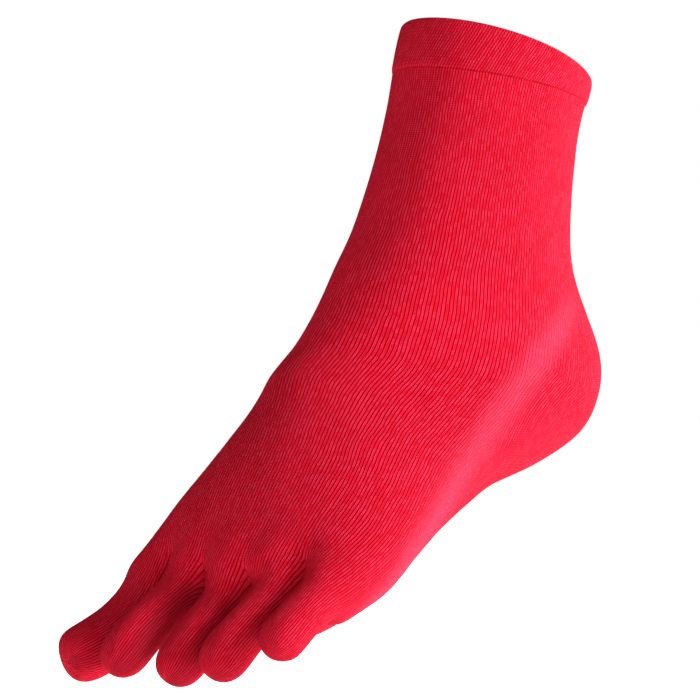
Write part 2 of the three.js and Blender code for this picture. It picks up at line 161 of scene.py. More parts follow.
# The cuff's ring and closed profile, and the plain torus that it is drawn from
CUFF_RING = 4 * RING
CUFF_FACE_STEPS = 12
CUFF_LIP_STEPS = 8
CUFF_PROFILE = 2 * CUFF_FACE_STEPS + 2 * CUFF_LIP_STEPS
TORUS_RADIUS = 2

# The knit's pattern. Grains are how many lie along a metre, and the rest are shares where nothing else is
# said. The wales wander by WANDER_WALES in all, with a grain of 12.5 mm, and the yarn's patches have one of
# 22 mm.
WANDER_GRAINS = 80
WANDER_WALES = 1.4
# How far a stitch's legs lean over the width of half a wale, in courses
STITCH_LEAN = 0.9
LOOP_RELIEF = 0.2
LEG_RELIEF = 0.35
FURROW_WIDTH = 0.6
FURROW_DEPTH = 0.6
DASHES_PER_STITCH = 0.42
PATCH_GRAINS = 45
LOT_UNEVENNESS = 0.35
TONE_CONTRAST = 0.5
TONE_SHIFT = -0.3
# How far painted shade darkens the furrows between the wales
PAINTED_FURROW_SHADE = 0.95
# The painted highlight that lightens each stitch where it stands highest
CROWN_HIGHLIGHT_VARIATION = 0.4
CROWN_HIGHLIGHT_START = 0.4
CROWN_HIGHLIGHT_END = 0.9
CROWN_HIGHLIGHT_STRENGTH = 0.8
# Strength of the painted highlight band
BAND_HIGHLIGHT_STRENGTH = 0.28
FLECK_GRAINS = 30
FLECK_RADIUS = 0.012
FIBRE_GRAINS = 4000
FIBRE_RELIEF = 0.25
RELIEF_DEPTH = 0.4 * MM

# Sockets of a mix node that mixes colours, by number because its kinds of value share their names
MIX_FACTOR = 0
MIX_FIRST = 6
MIX_SECOND = 7
MIX_RESULT = 2


def length(name, description, millimetres):
    """A length that the user can change."""
    return bpy.props.FloatProperty(
        name=name, description=description, default=millimetres * MM, min=0, subtype="DISTANCE",
        unit="LENGTH")


def angle(name, description, degrees):
    """An angle that the user can change."""
    return bpy.props.FloatProperty(
        name=name, description=description, default=math.radians(degrees), subtype="ANGLE", unit="ROTATION")


def share(name, description, value):
    """A share from 0 to 1 that the user can change."""
    return bpy.props.FloatProperty(
        name=name, description=description, default=value, min=0, max=1, subtype="FACTOR")


def linear(hex_colour):
    """An sRGB hex colour as linear values."""
    values = [int(hex_colour[i:i + 2], 16) / 255 for i in (1, 3, 5)]
    return [v / 12.92 if v <= 0.04045 else ((v + 0.055) / 1.055) ** 2.4 for v in values]


def colour(name, description, hex_colour):
    """A colour that the user can change."""
    return bpy.props.FloatVectorProperty(
        name=name, description=description, default=linear(hex_colour), size=3, min=0, max=1, subtype="COLOR")


class SockSizes(bpy.types.PropertyGroup):
    """Sizes of the sock as worn."""

    knit_wall: length("Knit thickness", "Thickness of the knitted wall", 1.6)
    cuff_wall: length("Cuff thickness", "Thickness of the doubled cuff", 2.6)
    cuff_proud: length("Cuff step", "How far the cuff's lower edge stands out from the leg", 0.25)
    cuff_height: length("Cuff height", "Height of the cuff", 12.5)
    cuff_depth: length("Cuff depth", "Mouth from front to back", 75)
    cuff_width: length("Cuff width", "Mouth from side to side", 63)
    cuff_slope: angle("Cuff slope", "How far the mouth falls to the back", 18)
    cuff_lift: length("Cuff lift", "How far the mouth rises at both sides", 1.2)
    cuff_slant: angle("Cuff slant", "How far the cuff's wales lean from the leg's", 27)
    leg_length: length("Leg length", "From the mouth down to the ankle", 66)
    leg_lean: length("Leg lean", "How far the ankle lies in front of the mouth", 15)
    leg_depth: length("Leg depth", "Leg from front to back", 76)
    leg_width: length("Leg width", "Leg from side to side", 62)
    heel_drop: length("Heel drop", "From the ankle down to the front of the heel", 65)
    heel_shift: length("Heel shift", "From the ankle forward to the front of the heel", 22)
    heel_depth: length("Heel depth", "Heel from front to back", 126)
    heel_width: length("Heel width", "Heel from side to side", 68)
    foot_reach: length("Foot reach", "From the front of the heel forward to the toes' roots", 74)
    foot_drop: length("Foot drop", "From the front of the heel down to the toes' roots", 52)
    foot_height: length("Foot height", "Foot from instep to sole", 80)
    ball_width: length("Ball width", "Foot from side to side at the ball", 91)
    pocket_back: length("Pocket back", "How far the pocket's point lies behind the ankle", 6)
    pocket_drop: length("Pocket drop", "How far the pocket's point lies below the ankle", 43)
    pocket_gore_fall: angle("Gore fall", "How far the gore line falls to the back of the heel", 22)
    pocket_sole_angle: angle("Sole line", "How steeply the pocket's front edge falls to the sole", 60)
    turn_back: length("Heel turn back", "How far the arcs' axis lies behind the mouth's middle", 34)
    turn_drop: length("Heel turn drop", "How far the arcs' axis lies below the mouth's middle", 158)
    straight_width: length("Straight wales", "Knit beside the heel's middle that runs straight round it", 10)
    crowding_width: length("Wale crowding", "Half this far off the middle, wales lie half as far apart", 24)
    # The pale band is a painted highlight down the foot's side
    band_drop: length("Band drop", "How far below the mouth's middle the painted highlight band crosses it", 101)
    band_fall: angle("Band fall", "How steeply the painted highlight band falls from the ankle to the ball", 49)
    band_width: length("Band width", "From the middle of the painted highlight band to its faded edge", 11)
    big_toe_length: length("Big toe length", "Length of the big toe's pocket", 43)
    big_toe_width: length("Big toe width", "Width of the big toe's pocket", 22)
    big_toe_height: length("Big toe height", "Height of the big toe's pocket", 19.5)
    small_toe_length: length("Small toe length", "Length of a small toe's pocket", 44)
    small_toe_width: length("Small toe width", "Width of a small toe's pocket", 15.4)
    small_toe_height: length("Small toe height", "Height of a small toe's pocket", 17)
    web_dip: length("Web dip", "Depth of the furrows between the toes' roots", 4)
    web_reach: length("Web reach", "How far the webs lie before or behind each other", 6)
    wale: length("Wale spacing", "Distance from one column of stitches to the next", 1.05)
    course: length("Course spacing", "Distance from one row of stitches to the next", 0.8)
    unevenness: length("Unevenness", "How far the worn cloth swells and dips", 0.5)


class SockColours(bpy.types.PropertyGroup):
    """Colours of the yarn and the stage."""

    yarn: colour("Yarn", "The yarn on the stitches", "#e30e27")
    # Painted highlight: the stitches' crowns are lightened towards this colour
    yarn_crown_highlight: colour("Painted crown highlight", "The yarn where a stitch stands highest", "#ff3656")
    # Painted shade: the furrows between the wales are darkened towards this colour
    yarn_furrow_shade: colour("Painted furrow shade", "The yarn in the furrows between the wales", "#9a000e")
    # Painted highlight: a pale band down the foot's side is lightened towards this colour
    yarn_band_highlight: colour("Band highlight", "The yarn lightened as a painted highlight in the pale band", "#ff5274")
    yarn_bloom: colour("Yarn bloom", "The fine fibres that stand off the yarn", "#ff7fa0")
    lint: colour("Lint", "Tiny flecks of lint", "#ffdfe2")
    floor: colour("Floor", "The floor under the sock", "#f7f7f7")
    bloom_weight: share("Bloom", "How much the fibres catch the light", 0.07)


def add_node(tree, kind, inputs=(), output=0, **settings):
    """Adds a node with its settings, fills its inputs with values or other nodes' outputs, and returns its
    wanted output."""
    node = tree.nodes.new(kind)
    for name, value in settings.items():
        setattr(node, name, value)
    for key, value in inputs.items() if isinstance(inputs, dict) else enumerate(inputs):
        if isinstance(value, bpy.types.NodeSocket):
            tree.links.new(value, node.inputs[key])
        else:
            node.inputs[key].default_value = value
    return node.outputs[output]


def unit(vector):
    return vector / np.linalg.norm(vector)


def signed_power(values, power):
    return np.sign(values) * np.abs(values) ** power


def smooth(value, start, end):
    t = np.clip((value - start) / (end - start), 0, 1)
    return t * t * (3 - 2 * t)


def placed_rows(sizes):
    """Section rows of the whole tube in metres: each stretch starts where the one before it ends."""
    stretches = (
        (LEG_ROWS, sizes.leg_length, sizes.leg_lean, sizes.leg_depth, sizes.leg_width),
        (HEEL_ROWS, sizes.heel_drop, sizes.heel_shift, sizes.heel_depth, sizes.heel_width),
        (FOOT_ROWS, sizes.foot_drop, sizes.foot_reach, sizes.foot_height, sizes.ball_width),
    )
    placed = []
    x = 0
    z = 0
    for rows, drop, reach, depth, width in stretches:
        for row in rows:
            placed.append({
                **row,
                "x": x - row["forward"] * reach,
                "z": z - row["down"] * drop,
                "front": row["front"] * depth,
                "back": row["back"] * depth,
                "inner": row["inner"] * width,
                "outer": row["outer"] * width,
            })
        x -= reach
        z -= drop
    return placed


def row_at(rows, place):
    """A row between two rows, on a smooth curve through all of them."""
    last = len(rows) - 1
    i = min(int(place), last - 1)
    t = place - i
    a, b, c, d = (rows[min(max(k, 0), last)] for k in (i - 1, i, i + 1, i + 2))

    def curve(key):
        return 0.5 * (
            2 * b[key] + (c[key] - a[key]) * t
            + (2 * a[key] - 5 * b[key] + 4 * c[key] - d[key]) * t ** 2
            + (3 * b[key] - a[key] - 3 * c[key] + d[key]) * t ** 3)

    return {key: curve(key) for key in b}


def section_frame(row):
    """The directions of a section: up is its front or top, side the big toe's, onward the way to the toes."""
    slope, skew, roll = (math.radians(row[key]) for key in ("slope", "skew", "roll"))
    top = np.array((-math.cos(slope), 0, math.sin(slope)))
    onward = np.array((-math.sin(slope), 0, -math.cos(slope)))
    across = np.array((0, math.cos(skew), 0)) + math.sin(skew) * onward
    up = math.cos(roll) * top - math.sin(roll) * across
    side = math.cos(roll) * across + math.sin(roll) * top
    return up, side, onward


def section_outline(row, angles):
    """Points of a section at angles from its inner side by its front."""
    up, side, _ = section_frame(row)
    rise = np.sin(angles)
    spread = np.cos(angles)
    power = np.where(rise > 0, 1, 2 / row["round"])
    height = signed_power(rise, power) * np.where(rise > 0, row["front"], row["back"])
    width = signed_power(spread, power) * np.where(spread > 0, row["inner"], row["outer"])
    across = width + row["crest"] * np.maximum(height, 0)
    return np.array((row["x"], 0, row["z"])) + np.outer(height, up) + np.outer(across, side)


def section_ring(row, steps=RING):
    """Points round a section, at equal steps over the foot and at equal steps under it."""
    half = steps // 2
    ring = []
    for start in (0, math.pi):
        dense = section_outline(row, np.linspace(start, start + math.pi, OUTLINE_FINENESS * half + 1))
        gone = np.concatenate(([0], np.cumsum(np.linalg.norm(np.diff(dense, axis=0), axis=1))))
        goals = np.arange(half) / half * gone[-1]
        ring.append(np.stack([np.interp(goals, gone, dense[:, axis]) for axis in range(3)], axis=1))
    return np.concatenate(ring)


def web_shift(place, reach):
    """How far a place on the ring is shifted onward at the webs, on a smooth curve through the web rows."""
    under = place > HALF_RING
    mirrored = RING - place if under else place
    i = max(next(k for k, row in enumerate(WEB_ROWS) if row["place"] >= mirrored) - 1, 0)
    a, b = WEB_ROWS[i], WEB_ROWS[i + 1]
    key = "under" if under else "above"
    return reach * (a[key] + (b[key] - a[key]) * smooth(mirrored, a["place"], b["place"]))


def web_weight(place):
    """How much of the web's dip a place on the ring has."""
    mirrored = RING - place if place > HALF_RING else place
    steps = min(abs(toe["edge"] - mirrored) for toe in TOE_ROWS[:-1])
    return DIP_BESIDE_WEB[steps] if steps < len(DIP_BESIDE_WEB) else 0


def tube_rings(sizes):
    """Rings of points from the cuff's lower edge to the toes' roots."""
    rows = placed_rows(sizes)
    count = (len(rows) - 1) * RINGS_PER_ROW
    places = range(RING)
    weights = np.array([web_weight(place) for place in places])
    inward = weights * np.array([1 if place > HALF_RING else -1 for place in places])
    shifts = np.array([web_shift(place, sizes.web_reach) for place in places])
    rings = []
    for i in range(count + 1):
        row = row_at(rows, i / RINGS_PER_ROW)
        up, _, onward = section_frame(row)
        dip = DIP_SHARES[count - i] if count - i < len(DIP_SHARES) else 0
        rings.append(
            section_ring(row) + dip * sizes.web_dip * np.outer(inward, up) + dip * np.outer(shifts, onward))
    return np.array(rings)


def toe_root(last_ring, index):
    """Points that a toe grows from: over the top, down the web, back under, and up the other web."""
    start = TOE_ROWS[index - 1]["edge"] if index else 0
    end = TOE_ROWS[index]["edge"]
    points = [last_ring[place] for place in range(start, end + 1)]
    if end < HALF_RING:
        points.append((last_ring[end] + last_ring[RING - end]) / 2)
    points += [last_ring[p] for p in range(max(RING - end, HALF_RING + 1), min(RING - start, RING - 1) + 1)]
    if start:
        points.append((last_ring[start] + last_ring[RING - start]) / 2)
    return np.array(points)


def toe_direction(toe, t):
    drop = math.radians(toe["root_drop"] + (toe["tip_drop"] - toe["root_drop"]) * t)
    turn = math.radians(toe["turn"])
    return np.array((-math.cos(drop) * math.cos(turn), math.sin(turn), -math.sin(drop) * math.cos(turn)))


def toe_rings(root, toe, sizes, section_up, starts_beside_web):
    """A toe's rings from its root to its tip, the last one drawn together in a point."""
    toe_length, width, height = (
        toe[key] * getattr(sizes, f"{toe['size']}_{key}") for key in ("length", "width", "height"))
    middle = root.mean(axis=0) + section_up * toe["rise"] * height

    def path(t):
        step = t / TOE_PATH_PIECES
        return middle + step * toe_length * sum(
            toe_direction(toe, step * (i + 0.5)) for i in range(TOE_PATH_PIECES))

    angles = 2 * math.pi / len(root) * (np.arange(len(root)) + (1 if starts_beside_web else 0))
    rings = [root]
    for t in TOE_STEPS:
        onward = toe_direction(toe, t)
        side = unit(np.array((0, 1, 0)) - onward[1] * onward)
        up = unit(np.cross(side, onward))
        tip = max(0, (t - TIP_START) / (1 - TIP_START))
        waist = 1 - toe["waist"] * math.sin(math.pi * min(t / TIP_START, 1)) ** 2
        taper = 0.5 * TOE_FULLNESS * waist * (1 - tip ** toe["blunt"]) ** (1 / toe["blunt"])
        rounded = (
            path(t)
            + np.outer(signed_power(np.cos(angles), TOE_SQUARENESS) * width * taper, side)
            + np.outer(signed_power(np.sin(angles), TOE_SQUARENESS) * height * taper, up))
        blend = smooth(t, 0, STUB_STEPS[1])
        rings.append((1 - blend) * (root + path(t) - middle) + blend * rounded)
    rings.append(np.tile(path(1), (len(root), 1)))
    return np.array(rings)


def knitted(node):
    """Name of the piece that stands for a node."""
    return f"knitted_{node}"


def alone(piece):
    """Leaves only this piece selected and active."""
    bpy.ops.object.select_all(action="DESELECT")
    piece.select_set(True)
    bpy.context.view_layer.objects.active = piece


def courses_along(rings, start, course):
    """Number of stitch rows from the mouth to each point of the rings."""
    steps = np.linalg.norm(np.diff(rings, axis=0), axis=2) / course
    return np.concatenate((start[None, :], start + np.cumsum(steps, axis=0)))


def vertex_points(mesh):
    points = np.empty(3 * len(mesh.vertices))
    mesh.vertices.foreach_get("co", points)
    return points.reshape(-1, 3)


def corner_vertices(mesh):
    """Number of the vertex at each corner of each face."""
    corners = np.empty(len(mesh.loops), dtype=np.int32)
    mesh.loops.foreach_get("vertex_index", corners)
    return corners


def write_knit_map(mesh, wales, courses):
    """Fills the UV map, which counts wales across and courses along."""
    knit_map = mesh.uv_layers[0]
    knit_map.name = "knit"
    knit_map.data.foreach_set("uv", np.stack((wales, courses), axis=1).ravel())


def rolled_sheet(name, rings, first_wale, courses):
    """A knitted sheet, a flat grid rolled so that its first and last columns meet, and the grid's row of each
    of its faces."""
    points = np.concatenate((rings, rings[:, :1]), axis=1)
    rows = np.concatenate((courses, courses[:, :1]), axis=1)
    last_row, last_column = points.shape[0] - 1, points.shape[1] - 1
    bpy.ops.object.select_all(action="DESELECT")
    bpy.ops.mesh.primitive_grid_add(x_subdivisions=last_column, y_subdivisions=last_row, size=2)
    sheet = bpy.context.object
    sheet.name = name
    mesh = sheet.data
    mesh.name = name
    # The flat grid runs from -1 to 1 both ways
    flat = vertex_points(mesh)
    column = np.rint((flat[:, 0] + 1) / 2 * last_column).astype(int)
    row = np.rint((flat[:, 1] + 1) / 2 * last_row).astype(int)
    mesh.vertices.foreach_set("co", points[row, column].ravel())
    corner = corner_vertices(mesh)
    write_knit_map(mesh, first_wale + WALES_PER_STEP * column[corner], rows[row, column][corner])
    mesh.update()
    return sheet, row[corner].reshape(-1, 4).min(axis=1)


def number_faces(mesh, numbers):
    """Writes on each face the number of the piece that it belongs to."""
    attribute = mesh.attributes.new("piece_number", "INT", "FACE")
    attribute.data.foreach_set("value", np.asarray(numbers, np.int32))


def face_numbers(mesh):
    numbers = np.empty(len(mesh.polygons), dtype=np.int32)
    mesh.attributes["piece_number"].data.foreach_get("value", numbers)
    return numbers


def apply_modifier(piece, kind, **settings):
    """Adds a modifier with its settings and applies it."""
    alone(piece)
    bpy.ops.object.modifier_add(type=kind)
    modifier = piece.modifiers[-1]
    for name, value in settings.items():
        setattr(modifier, name, value)
    bpy.ops.object.modifier_apply(modifier=modifier.name)


def take_off(whole, chosen, name):
    """Parts the chosen faces from the whole as a piece of their own."""
    alone(whole)
    bpy.ops.object.mode_set(mode="EDIT")
    bpy.ops.mesh.select_mode(type="FACE")
    bpy.ops.mesh.select_all(action="DESELECT")
    bpy.ops.object.mode_set(mode="OBJECT")
    whole.data.polygons.foreach_set("select", chosen)
    bpy.ops.object.mode_set(mode="EDIT")
    bpy.ops.mesh.separate(type="SELECTED")
    bpy.ops.object.mode_set(mode="OBJECT")
    piece = next(o for o in bpy.context.selected_objects if o != whole)
    piece.name = name
    piece.data.name = name
    return piece


def face_middles(mesh):
    middles = np.empty(3 * len(mesh.polygons))
    mesh.polygons.foreach_get("center", middles)
    return middles.reshape(-1, 3)


def pocket_lines(sizes):
    """The heel pocket's point, and the directions out of it across the gore line and across the sole line."""
    point = Vector((
        sizes.pocket_back - sizes.leg_lean, 0, -sizes.leg_length - sizes.pocket_drop))
    gore = Vector((math.sin(sizes.pocket_gore_fall), 0, math.cos(sizes.pocket_gore_fall)))
    sole = Vector((-math.sin(sizes.pocket_sole_angle), 0, math.cos(sizes.pocket_sole_angle)))
    return point, gore, sole


def turn_wales(pocket, sizes):
    """Lets the heel pocket's wales run in arcs at its sides, about an axis that lies across the sock, and
    straight round the heel along its middle, so that none closes in a ring at its tip."""
    mesh = pocket.data
    x, y, z = vertex_points(mesh)[corner_vertices(mesh)].T
    back = x - sizes.turn_back
    up = z + sizes.turn_drop
    away = np.hypot(back, up)
    off_tip = away - away.min() + sizes.straight_width
    # The wales lie closer the farther off the middle they are, so that the arcs take over before the sides
    off_middle = np.maximum(np.abs(y), TINY)
    off_middle *= 1 + off_middle / sizes.crowding_width
    nearer = (off_tip ** -TURN_SHARPNESS + off_middle ** -TURN_SHARPNESS) ** (-1 / TURN_SHARPNESS)
    # Half a wale more puts the middle of the heel on a wale and not in a furrow
    wales = nearer / sizes.wale + 0.5
    courses = (away.mean() * np.arctan2(back, up) + y) / sizes.course
    write_knit_map(mesh, wales, courses)


def knit_material(context, name, slant=0):
    """Plain knit of a fine cotton yarn: columns of V stitches with painted shade in the furrows between them
    and a painted highlight on each stitch's crown, and a soft bloom of fibres that catches light at the
    edges. It is knitted, so its columns follow the tube. A painted highlight lies in a pale band from the
    ankle down to the ball."""
    sizes = context.scene.sock_sizes
    colours = context.scene.sock_colours
    material = bpy.data.materials.new(name)
    material.use_nodes = True
    tree = material.node_tree
    shader = tree.nodes["Principled BSDF"]

    place = add_node(tree, "ShaderNodeUVMap", uv_map="knit")
    course = add_node(tree, "ShaderNodeSeparateXYZ", [place], "Y")
    around = add_node(tree, "ShaderNodeTexCoord", output="Object")
    # Worn wales wander to both sides of their straight course
    wander = add_node(
        tree, "ShaderNodeTexNoise", {"Vector": around, "Scale": WANDER_GRAINS, "Detail": 2})
    sway = add_node(
        tree, "ShaderNodeMath", [wander, WANDER_WALES, -WANDER_WALES / 2], operation="MULTIPLY_ADD")
    straight = add_node(tree, "ShaderNodeSeparateXYZ", [place], "X")
    worn_wale = add_node(tree, "ShaderNodeMath", [straight, sway], operation="ADD")
    wales_per_course = math.tan(slant) * sizes.course / sizes.wale
    wale = add_node(tree, "ShaderNodeMath", [course, wales_per_course, worn_wale], operation="MULTIPLY_ADD")

    # 0 in the furrow between two wales and 1 in the middle of a wale
    half = add_node(tree, "ShaderNodeMath", [wale, 0.5], operation="PINGPONG")
    inside = add_node(tree, "ShaderNodeMath", [half, 2], operation="MULTIPLY")
    # Each stitch is a V, so its two legs lean away from the wale's middle
    half_turn = add_node(tree, "ShaderNodeMath", [inside, math.pi], operation="MULTIPLY")
    leg = add_node(tree, "ShaderNodeMath", [half_turn], operation="SINE")
    lean = add_node(tree, "ShaderNodeMath", [inside, -STITCH_LEAN, course], operation="MULTIPLY_ADD")
    full_turn = add_node(tree, "ShaderNodeMath", [lean, 2 * math.pi], operation="MULTIPLY")
    wave = add_node(tree, "ShaderNodeMath", [full_turn], operation="SINE")
    loop = add_node(tree, "ShaderNodeMath", [wave, LOOP_RELIEF, 1 - LOOP_RELIEF], operation="MULTIPLY_ADD")
    leg_height = add_node(
        tree, "ShaderNodeMath", [leg, LEG_RELIEF, 1 - LEG_RELIEF], operation="MULTIPLY_ADD")
    stitch_height = add_node(tree, "ShaderNodeMath", [leg_height, loop], operation="MULTIPLY")
    furrow = add_node(
        tree, "ShaderNodeMapRange", {"Value": inside, "From Min": FURROW_WIDTH, "From Max": 0.0},
        interpolation_type="SMOOTHSTEP")
    height = add_node(
        tree, "ShaderNodeMath", [furrow, -FURROW_DEPTH, stitch_height], operation="MULTIPLY_ADD")

    # The yarn changes a little every two or three stitches along a wale, so that it shows in short dashes
    wale_number = add_node(tree, "ShaderNodeMath", [wale], operation="FLOOR")
    dash_place = add_node(tree, "ShaderNodeMath", [lean, DASHES_PER_STITCH], operation="MULTIPLY")
    dash_number = add_node(tree, "ShaderNodeMath", [dash_place], operation="FLOOR")
    dash = add_node(tree, "ShaderNodeCombineXYZ", [wale_number, dash_number])
    lot = add_node(tree, "ShaderNodeTexWhiteNoise", {"Vector": dash}, noise_dimensions="2D")
    patches = add_node(tree, "ShaderNodeTexNoise", {"Vector": around, "Scale": PATCH_GRAINS, "Detail": 3})
    uneven = add_node(tree, "ShaderNodeMath", [lot, LOT_UNEVENNESS, patches], operation="MULTIPLY_ADD")
    tone = add_node(
        tree, "ShaderNodeMath", [uneven, TONE_CONTRAST, TONE_SHIFT], operation="MULTIPLY_ADD")
    # Painted shade darkens the furrows between the wales, on top of the yarn's random tone
    depth = add_node(tree, "ShaderNodeMath", [furrow, PAINTED_FURROW_SHADE, tone], operation="MULTIPLY_ADD")
    tone_and_furrow_shade = add_node(
        tree, "ShaderNodeMix",
        {MIX_FACTOR: depth, MIX_FIRST: (*colours.yarn, 1), MIX_SECOND: (*colours.yarn_furrow_shade, 1)}, MIX_RESULT,
        data_type="RGBA", clamp_factor=True)
    # Painted highlight: each stitch is lightened towards yarn_crown_highlight where it stands highest
    steadier = add_node(
        tree, "ShaderNodeMath", [lot, CROWN_HIGHLIGHT_VARIATION, 1 - CROWN_HIGHLIGHT_VARIATION], operation="MULTIPLY_ADD")
    standing = add_node(tree, "ShaderNodeMath", [height, steadier], operation="MULTIPLY")
    crown_highlight = add_node(
        tree, "ShaderNodeMapRange",
        {"Value": standing, "From Min": CROWN_HIGHLIGHT_START, "From Max": CROWN_HIGHLIGHT_END, "To Max": CROWN_HIGHLIGHT_STRENGTH},
        interpolation_type="SMOOTHSTEP")
    shaded_and_highlit = add_node(
        tree, "ShaderNodeMix",
        {MIX_FACTOR: crown_highlight, MIX_FIRST: tone_and_furrow_shade, MIX_SECOND: (*colours.yarn_crown_highlight, 1)}, MIX_RESULT,
        data_type="RGBA")

    # The painted highlight band lies on a plane across the sock and fades out above the ankle
    across_band = (-math.sin(sizes.band_fall), 0, math.cos(sizes.band_fall))
    from_middle = add_node(
        tree, "ShaderNodeVectorMath", [around, across_band], "Value", operation="DOT_PRODUCT")
    off_band = add_node(
        tree, "ShaderNodeMath", [from_middle, sizes.band_drop * math.cos(sizes.band_fall)], operation="ADD")
    beside_band = add_node(tree, "ShaderNodeMath", [off_band], operation="ABSOLUTE")
    band = add_node(
        tree, "ShaderNodeMapRange", {"Value": beside_band, "From Min": sizes.band_width, "From Max": 0.0},
        interpolation_type="SMOOTHSTEP")
    up_the_leg = add_node(tree, "ShaderNodeSeparateXYZ", [around], "Z")
    band_top = 2 * sizes.band_width - sizes.band_drop
    below_ankle = add_node(
        tree, "ShaderNodeMapRange",
        {"Value": up_the_leg, "From Min": band_top, "From Max": -sizes.band_drop},
        interpolation_type="SMOOTHSTEP")
    band_highlight_mask = add_node(tree, "ShaderNodeMath", [band, below_ankle], operation="MULTIPLY")
    band_highlight_amount = add_node(tree, "ShaderNodeMath", [band_highlight_mask, BAND_HIGHLIGHT_STRENGTH], operation="MULTIPLY")
    yarn = add_node(
        tree, "ShaderNodeMix",
        {MIX_FACTOR: band_highlight_amount, MIX_FIRST: shaded_and_highlit, MIX_SECOND: (*colours.yarn_band_highlight, 1)}, MIX_RESULT,
        data_type="RGBA")

    # A few flecks of lint, each at most 0.8 mm across
    cells = add_node(tree, "ShaderNodeTexVoronoi", {"Vector": around, "Scale": FLECK_GRAINS}, "Distance")
    fleck = add_node(tree, "ShaderNodeMath", [cells, FLECK_RADIUS], operation="LESS_THAN")
    skin = add_node(
        tree, "ShaderNodeMix",
        {MIX_FACTOR: fleck, MIX_FIRST: yarn, MIX_SECOND: (*colours.lint, 1)}, MIX_RESULT,
        data_type="RGBA")

    # Loose fibre ends roughen the stitches, with a grain of a quarter of a millimetre and finer
    fibres = add_node(tree, "ShaderNodeTexNoise", {"Vector": around, "Scale": FIBRE_GRAINS, "Detail": 2})
    relief = add_node(tree, "ShaderNodeMath", [fibres, FIBRE_RELIEF, height], operation="MULTIPLY_ADD")
    bump = add_node(
        tree, "ShaderNodeBump", {"Strength": 1.0, "Distance": RELIEF_DEPTH, "Height": relief})

    tree.links.new(skin, shader.inputs["Base Color"])
    tree.links.new(bump, shader.inputs["Normal"])
    shader.inputs["Roughness"].default_value = 0.9
    shader.inputs["Specular IOR Level"].default_value = 0.02
    shader.inputs["Sheen Weight"].default_value = colours.bloom_weight
    shader.inputs["Sheen Roughness"].default_value = 0.45
    shader.inputs["Sheen Tint"].default_value = (*colours.yarn_bloom, 1)
    return material


def finish_piece(piece, material, node):
    """Gives a finished piece its material and its place in the frame."""
    piece.data.materials.clear()
    piece.data.materials.append(material)
    alone(piece)
    bpy.ops.object.shade_smooth_by_angle(angle=SMOOTH_ANGLE)
    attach(piece, "root")
    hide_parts(node)


class KnitTube(bpy.types.Operator):
    """Rolls the tube from the cuff's lower edge to the toes' roots"""

    bl_idname = "sock.tube"
    bl_label = "Leg and foot"

    def execute(self, context):
        sizes = context.scene.sock_sizes
        rings = tube_rings(sizes)
        courses = courses_along(rings, np.zeros(RING), sizes.course)
        tube, _ = rolled_sheet(knitted("leg_and_foot"), rings, 0, courses)
        number_faces(tube.data, np.zeros(len(tube.data.polygons)))
        return {"FINISHED"}


class KnitToes(bpy.types.Operator):
    """Grows the five toe pockets from the tube, knits all in one and rounds it"""

    bl_idname = "sock.toes"
    bl_label = "Toe pockets"

    def execute(self, context):
        sizes = context.scene.sock_sizes
        tube = bpy.data.objects[knitted("leg_and_foot")]
        rings = tube_rings(sizes)
        courses = courses_along(rings, np.zeros(RING), sizes.course)
        up, _, _ = section_frame(placed_rows(sizes)[-1])
        toes = []
        for index, toe in enumerate(TOE_ROWS):
            root = toe_root(rings[-1], index)
            first = toe_root(courses[-1], index)
            toe_points = toe_rings(root, toe, sizes, up, index > 0)
            first_wale = WALES_PER_STEP * (TOE_ROWS[index - 1]["edge"] if index else 0)
            sheet, face_row = rolled_sheet(
                knitted(toe["name"]), toe_points, first_wale, courses_along(toe_points, first, sizes.course))
            number_faces(sheet.data, np.where(face_row < len(STUB_STEPS), 0, index + 1))
            toes.append(sheet)
        alone(tube)
        for sheet in toes:
            sheet.select_set(True)
        bpy.ops.object.join()
        bpy.ops.object.mode_set(mode="EDIT")
        bpy.ops.mesh.select_all(action="SELECT")
        bpy.ops.mesh.remove_doubles(threshold=TINY)
        bpy.ops.mesh.normals_make_consistent(inside=False)
        bpy.ops.object.mode_set(mode="OBJECT")
        apply_modifier(tube, "SUBSURF", levels=ROUNDING, render_levels=ROUNDING)
        swell = bpy.data.textures.new("uneven cloth", "CLOUDS")
        swell.noise_scale = SWELL_SPACING
        apply_modifier(tube, "DISPLACE", texture=swell, strength=sizes.unevenness, texture_coords="LOCAL")
        material = knit_material(context, "knitted cotton")
        for number, toe in enumerate(TOE_ROWS, start=1):
            pocket = take_off(tube, face_numbers(tube.data) == number, knitted(toe["name"]))
            apply_modifier(pocket, "SOLIDIFY", thickness=sizes.knit_wall, offset=-1)
            finish_piece(pocket, material, toe["name"])
        return {"FINISHED"}


class KnitHeel(bpy.types.Operator):
    """Parts the heel pocket from the tube along the gore line and the sole line, and thickens both"""

    bl_idname = "sock.heel"
    bl_label = "Heel pocket"

    def execute(self, context):
        sizes = context.scene.sock_sizes
        tube = bpy.data.objects[knitted("leg_and_foot")]
        point, gore, sole = pocket_lines(sizes)
        alone(tube)
        bpy.ops.object.mode_set(mode="EDIT")
        for across in (gore, sole):
            bpy.ops.mesh.select_all(action="SELECT")
            bpy.ops.mesh.bisect(plane_co=point, plane_no=across)
        bpy.ops.object.mode_set(mode="OBJECT")
        middles = face_middles(tube.data) - np.array(point)
        inside = (middles @ np.array(gore) < 0) & (middles @ np.array(sole) < 0)
        pocket = take_off(tube, inside, knitted("heel_pocket"))
        turn_wales(pocket, sizes)
        material = bpy.data.materials["knitted cotton"]
        for piece, node in ((tube, "leg_and_foot"), (pocket, "heel_pocket")):
            apply_modifier(piece, "SOLIDIFY", thickness=sizes.knit_wall, offset=-1)
            finish_piece(piece, material, node)
        return {"FINISHED"}


